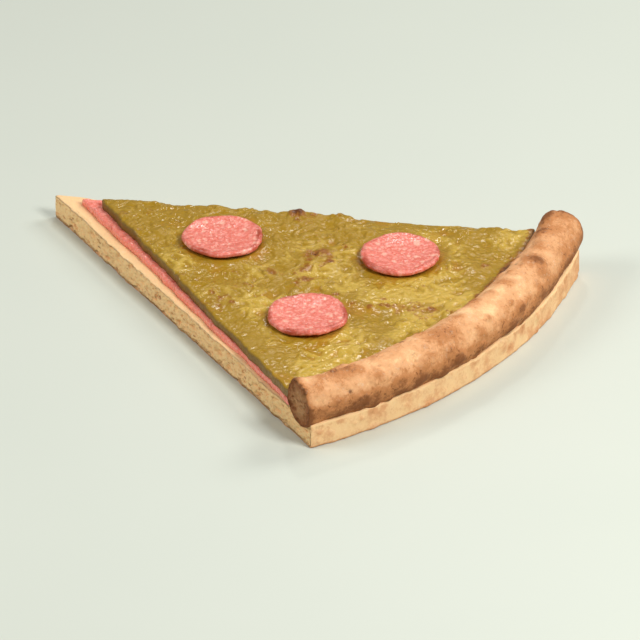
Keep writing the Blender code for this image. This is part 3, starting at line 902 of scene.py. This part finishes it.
def cheese_piece():
    """The cloth at the cheese's level. The hanging rows go round a quarter circle and then straight down.
    Towards the rim the level climbs, and the edge grows outwards until it touches the roll."""
    plan, out, over = cheese_grid()
    turn = np.clip(over / ROUNDED_SHARE, 0, 1) * math.pi / 2
    flat = on_plan(plan)
    from_rim = CHEESE_RADIUS - np.abs(plan)
    lip = 0.55 * MM * noise(flat, 9 * MM, 650) + 0.35 * MM * noise(flat, 3.5 * MM, 651)
    reach = CHEESE_EDGE + lip * smooth(from_rim, 4 * MM, 12 * MM) + 0.2 * MM
    moved = plan + out * reach * np.sin(turn)
    level, domes, bubble, ripple, strand = cheese_level(plan)
    climb = smooth(np.abs(moved), CHEESE_RADIUS - 4 * MM, CHEESE_RADIUS)
    drop = CHEESE_EDGE * (1 - np.cos(turn)) * (1 - 0.6 * climb)
    wall = np.clip((over - ROUNDED_SHARE) / (1 - ROUNDED_SHARE), 0, 1)
    z = level + 0.9 * MM * climb - drop
    z = z + (CHEESE_BOTTOM - z) * wall
    moved += 1.6 * MM * climb * np.sin(turn) * moved / np.abs(moved)
    top = np.stack([moved.real + TIP_X, moved.imag, z], axis=-1)
    index = np.arange(plan.size).reshape(plan.shape)
    corners = [index[:-1, :-1], index[1:, :-1], index[1:, 1:], index[:-1, 1:]]
    quads = np.stack(corners, axis=-1).reshape(-1, 4)
    border = np.concatenate([index[0, :-1], index[:-1, -1], index[-1, :0:-1], index[:0:-1, 0]])
    fan = np.stack([np.full(len(border), plan.size), border, np.roll(border, -1)], axis=-1)
    vertices = np.concatenate([top.reshape(-1, 3), [[TIP_X + BASE_MIDDLE, 0.0, CHEESE_BOTTOM]]])
    piece = mesh_piece("cheese_layer", vertices.tolist(), [*quads.tolist(), *fan.tolist()])
    halo = np.exp(-np.maximum(spot_distance(plan) - PEPPERONI_RADIUS, 0) / (5 * MM))
    toast = 0.6 * domes + 0.8 * bubble + 0.35 * ripple + 0.6 * layered(flat, 24 * MM, 660)
    # Where the cheese climbs the rim it is browner: partly a browned edge, partly painted shade between the
    # parts.
    toast += 0.7 * climb + 0.15 * over - 0.25 * halo
    # Painted light: the creamy mark grows towards the rim, so that the cheese is lighter there.
    cream_and_light = 0.8 * np.abs(plan) / CHEESE_RADIUS - 0.25 + 0.8 * layered(flat, 17 * MM, 670)
    cream_and_light += 0.5 * strand - 0.35 * domes
    oil = 0.25 + 0.5 * halo + 0.6 * layered(flat, 13 * MM, 680) - 0.3 * ripple - 0.4 * strand
    marks = {"toast": toast, "cream_and_light": cream_and_light, "oil": oil, "over": over}
    for name, values in marks.items():
        mark(piece, name, np.append(values, 0.0))
    return piece


cheese_layer = cheese_piece()

# %% [markdown]
# ## The cheese's finish
#
# Baked cheese is golden, creamier where it is thick and wet, and toasted brown on its bubbles. Its colour
# is also lighter towards the rim, which is painted light, and browner where it climbs the rim, which is
# partly a browned edge and partly painted shade. Freed fat makes it shine in patches, and tints it orange
# round the pepperoni. Its cut edge is rougher, and darker as painted shade. The marks say where all of that
# is, noise breaks up their edges, and a thin coat gives the wet glints.

# %% Cheese finish
def cheese_finish():
    """Golden, tinted by the cream, oil, toast and over marks in turn, each broken up by noise. The cream
    mark also paints light towards the rim, the toast mark partly paints shade where the cheese climbs the
    rim, and the over mark paints the hanging edge darker as shade.
    """
    look = Finish("melted_cheese", ior=1.42, coat=(0.2, 0.12), glow=(0.12, 1.4 * MM, (1.0, 0.65, 0.25)))
    golden = (168, 131, 32)
    cream_and_light = (200, 165, 66)
    oily = (180, 122, 34)
    toasted = (154, 98, 32)
    brown = (102, 56, 24)
    # Painted shade: the colour of the cheese's hanging edge, darker than its top.
    side = (114, 82, 14)
    fine = look.noise(1.4 * MM, detail=5, rough=0.65)
    broad = look.noise(6 * MM, detail=4, rough=0.6)
    lumps = look.noise(2.4 * MM, detail=1)
    broken = look.sum(look.centred(fine), look.centred(broad))
    creamy = look.sum(look.mark("cream_and_light"), broken, 0.8)
    greasy = look.sum(look.mark("oil"), broken, 0.5)
    toast = look.sum(look.mark("toast"), broken, 1.2)
    hanging = look.between(look.mark("over"), 0.1, 0.7)
    colour = look.tint(golden, cream_and_light, creamy, 0.4, 0.95)
    colour = look.tint(colour, oily, greasy, 0.3, 0.8, 0.0, 0.6)
    colour = look.tint(colour, toasted, toast, 0.36, 0.74)
    colour = look.tint(colour, brown, toast, 0.78, 1.15)
    # Painted shade: the hanging edge takes the darker side colour.
    colour = look.mix(look.product(hanging, 0.85), colour, side)
    matt = look.between(look.sum(look.mark("oil"), broken, 0.9), -0.2, 0.5, 0.4, 0.12)
    normal = look.bump(fine, 0.15 * MM, 0.5)
    normal = look.bump(lumps, 1.0 * MM, 0.7, below=normal)
    normal = look.bump(broad, 0.9 * MM, 0.4, below=normal)
    look.use(colour, look.sum(matt, hanging, 0.3), normal)
    return look


dress(cheese_layer, cheese_finish(), "cheese")

# %% [markdown]
# ## Pepperoni
#
# A slice of pepperoni is a coin of minced, cured meat. In the oven its fat runs, its edge curls up and
# crisps, and the pieces of fat show as paler flecks in the red. The coin is a stack of rings: the middle
# of the underside, the round edge, and the cupped top. Flecks are bubbles in a bent space, so that no two
# have the same outline, and each stands a little proud or sunk.

# %% Pepperoni finish
def pepperoni_finish():
    """A red tinted by broad noise, between small cells, by fine grain, and by the fat and crisp marks."""
    look = Finish("pepperoni", ior=1.42, coat=(0.3, 0.15), glow=(0.15, 0.9 * MM, (1.0, 0.35, 0.2)))
    red = (247, 142, 124)
    pink = (253, 166, 150)
    between_mince = (226, 106, 86)
    dark_grain = (212, 92, 70)
    pale_fat = (253, 186, 162)
    crisped = (178, 72, 48)
    fine = look.noise(0.9 * MM, detail=4, rough=0.7)
    broad = look.noise(3.5 * MM, detail=3, rough=0.6)
    minced = look.cells(1.6 * MM)
    fat = look.sum(look.mark("fat"), look.centred(fine), 1.1)
    crisp = look.sum(look.mark("crisp"), look.centred(fine), 0.8)
    colour = look.tint(red, pink, broad, 0.3, 0.7)
    colour = look.tint(colour, between_mince, minced, 0.25, 0.6, 0.0, 0.7)
    colour = look.tint(colour, dark_grain, fine, 0.52, 0.74, 0.0, 0.7)
    colour = look.tint(colour, pale_fat, fat, 0.1, 0.7, 0.0, 0.95)
    colour = look.tint(colour, crisped, crisp, 0.35, 1.0)
    normal = look.bump(fine, 0.3 * MM, 0.6)
    normal = look.bump(minced, 0.3 * MM, 0.5, below=normal)
    look.use(colour, look.between(broad, 0.3, 0.7, 0.2, 0.4), normal)
    return look


pepperoni_look = pepperoni_finish()

# %% The pepperoni's surface
PEPPERONI_STATIONS = 240
UNDER_ROWS = 15
EDGE_ROWS = 17
TOP_ROWS = 65


def pepperoni_piece(name, spot, seed):
    """Walks from the middle of the underside round the edge to the middle of the top. Over the edge, from
    -1 to 1, the section is a half circle of the coin's thickness. All of it rises as a cup, by the share of
    the way to the edge to the power 2.2."""
    half = PEPPERONI_THICKNESS / 2
    outwards = np.linspace(0.04, 1, UNDER_ROWS + 1)[:-1]
    inwards = np.linspace(1, 0.01, TOP_ROWS + 1)[1:]
    to_edge = np.concatenate([outwards, np.ones(EDGE_ROWS), inwards])[:, None]
    over_edge = np.pad(np.linspace(-1, 1, EDGE_ROWS), (UNDER_ROWS, TOP_ROWS), mode="edge")[:, None]
    bulge = np.cos(over_edge * math.pi / 2)
    side = np.sin(over_edge * math.pi / 2)
    turn = np.linspace(0, 2 * math.pi, PEPPERONI_STATIONS, endpoint=False)[None, :]
    circle = np.stack([np.cos(turn), np.sin(turn)], axis=-1)
    ragged = 1 + 0.018 * waves(circle, 1.1, seed) + 0.006 * waves(circle, 0.25, seed + 2)
    out = ragged * ((PEPPERONI_RADIUS - half) * to_edge + half * bulge)
    curl = PEPPERONI_CUP * to_edge**2.2 * (1 + 0.3 * waves(circle, 1.3, seed + 1))
    x = spot[0] + out * np.cos(turn)
    y = spot[1] + out * np.sin(turn)
    z = SEAT_LEVEL + GAP / 2 + half + half * side + curl
    places = np.stack([x, y, z], axis=-1)
    bent = bend(places, 0.7 * MM, 2.2 * MM, seed + 3)
    fat = np.maximum(bubbles(bent, 3.1 * MM, seed + 6, 0.6), 0.8 * bubbles(bent, 1.6 * MM, seed + 16, 0.5))
    grain = layered(places, 1.4 * MM, seed + 30)
    relief = 0.14 * MM * grain + 0.2 * MM * layered(places, 6 * MM, seed + 31) - 0.12 * MM * np.sqrt(fat)
    top = smooth(side, 0.0, 0.8)
    z = z + relief * top
    rim_out = 0.15 * MM * grain * bulge
    rings = np.stack([x + rim_out * np.cos(turn) + TIP_X, y + rim_out * np.sin(turn), z], axis=-1)
    piece = ring_piece(name, rings)
    crisp = smooth(to_edge, 0.8, 1.0) * (0.6 + 0.4 * noise(places, 5 * MM, seed + 40))
    mark_rings(piece, fat=fat, crisp=crisp)
    return piece


for number, (node, spot) in enumerate(PEPPERONI_SPOTS.items()):
    slice_piece = pepperoni_piece(node.replace("pepperoni", "pepperoni_slice"), spot, 51 + 10 * number)
    dress(slice_piece, pepperoni_look, node)

# %% [markdown]
# ## Camera
#
# The picture is drawn without perspective: far things are no smaller than near ones. A very long lens, far
# away, comes within a pixel or two of that, and still works from any side. The camera looks down 29.3
# degrees, and is turned about the vertical until the cuts run as they do in the picture. Then it slides
# sideways and up until the tip meets the table at its own pixel of a 640 pixel square.

# %% Camera
PICTURE = 640
AZIMUTH = math.radians(36.8)
ELEVATION = math.radians(29.3)
METRES_A_PIXEL = 0.4201 * MM
TIP_PIXEL = (53.9, 216.1)
LENS = 1200
SENSOR = 36

right = np.array([math.cos(AZIMUTH), math.sin(AZIMUTH), 0.0])
into_picture = np.array([-math.sin(AZIMUTH), math.cos(AZIMUTH), 0.0])
forward = math.cos(ELEVATION) * into_picture - math.sin(ELEVATION) * np.array([0.0, 0.0, 1.0])
up = np.cross(right, forward)
tip_point = np.array([TIP_X, 0.0, 0.0])
slide_right = tip_point @ right - (TIP_PIXEL[0] - PICTURE / 2) * METRES_A_PIXEL
slide_up = tip_point @ up + (TIP_PIXEL[1] - PICTURE / 2) * METRES_A_PIXEL
distance = PICTURE * METRES_A_PIXEL * LENS / SENSOR
camera_data = bpy.data.cameras.new("camera")
camera_data.lens = LENS
camera_data.sensor_width = SENSOR
camera_data.clip_end = 2 * distance
camera = new_object(camera_data)
camera.location = slide_right * right + slide_up * up - distance * forward
camera.rotation_euler = (math.pi / 2 - ELEVATION, 0, AZIMUTH)
scene.camera = camera
print(f"the camera stands {distance:.2f} m away")

# %% [markdown]
# ## Floor and light
#
# The floor is pale, with a breath of green. Four soft lamps and an even sky light it. The strongest comes
# from the front right, so that the outer wall is bright and the near cut is not. One from behind on the
# right throws a soft shadow to the lower left, one from the left throws a faint one to the right, and a
# small one behind gives the wet cheese its glints. Each is placed by how far it stands to the right of the
# picture, how far into it, and how high.

# %% Floor
FLOOR_SIDE = 12.0


def make_floor():
    """A flat square in two almost equal colours, mixed by broad noise."""
    half = FLOOR_SIDE / 2
    corners = [(-half, -half, 0), (half, -half, 0), (half, half, 0), (-half, half, 0)]
    floor = mesh_piece("floor", corners, [(0, 1, 2, 3)])
    finish = Finish("pale_floor", ior=1.3)
    shade = finish.noise(120 * MM, detail=2)
    colour = finish.mix(shade, (210, 215, 202), (214, 218, 205))
    finish.use(colour, 0.85, finish.bump(finish.noise(2 * MM), 0.02 * MM, 0.1))
    floor.data.materials.append(finish.material)
    floor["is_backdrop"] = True


make_floor()

# %% Lamps and sky
SKY_STRENGTH = 0.18


def soft_lamp(name, to_right, into, high, size, power):
    """A square lamp at this place, facing the middle of the slice."""
    lamp = bpy.data.lights.new(name, "AREA")
    lamp.size = size
    lamp.energy = power
    place = to_right * right + into * into_picture + np.array([0, 0, high])
    holder = new_object(lamp)
    holder.location = place
    away = place / np.linalg.norm(place)
    holder.rotation_euler = (math.acos(away[2]), 0, math.atan2(away[1], away[0]) + math.pi / 2)


soft_lamp("front_right", to_right=0.5, into=-0.5, high=0.76, size=0.3, power=6.6)
soft_lamp("back_right", to_right=0.64, into=0.42, high=0.7, size=0.4, power=3.8)
soft_lamp("left", to_right=-0.82, into=-0.22, high=0.72, size=0.45, power=4.5)
soft_lamp("behind", to_right=0.05, into=0.62, high=0.74, size=0.09, power=1.0)

world = bpy.data.worlds.new("sky")
world.use_nodes = True
sky = world.node_tree.nodes["Background"]
sky.inputs["Color"].default_value = (1.0, 1.0, 1.0, 1.0)
sky.inputs["Strength"].default_value = SKY_STRENGTH
scene.world = world
scene.view_settings.view_transform = "Standard"

# %% [markdown]
# ## The two boxes
#
# The box of the dressed slice and that of the solids are printed side by side. The dressed slice
# must not be larger than the solids.

# %% Print the two boxes
dressed_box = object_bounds()
boxes = {
    "solids": [list(corner) for corner in solid_box],
    "dressed": [list(corner) for corner in dressed_box],
}
for name, corners in boxes.items():
    print(name, [[round(value / MM, 2) for value in corner] for corner in corners])
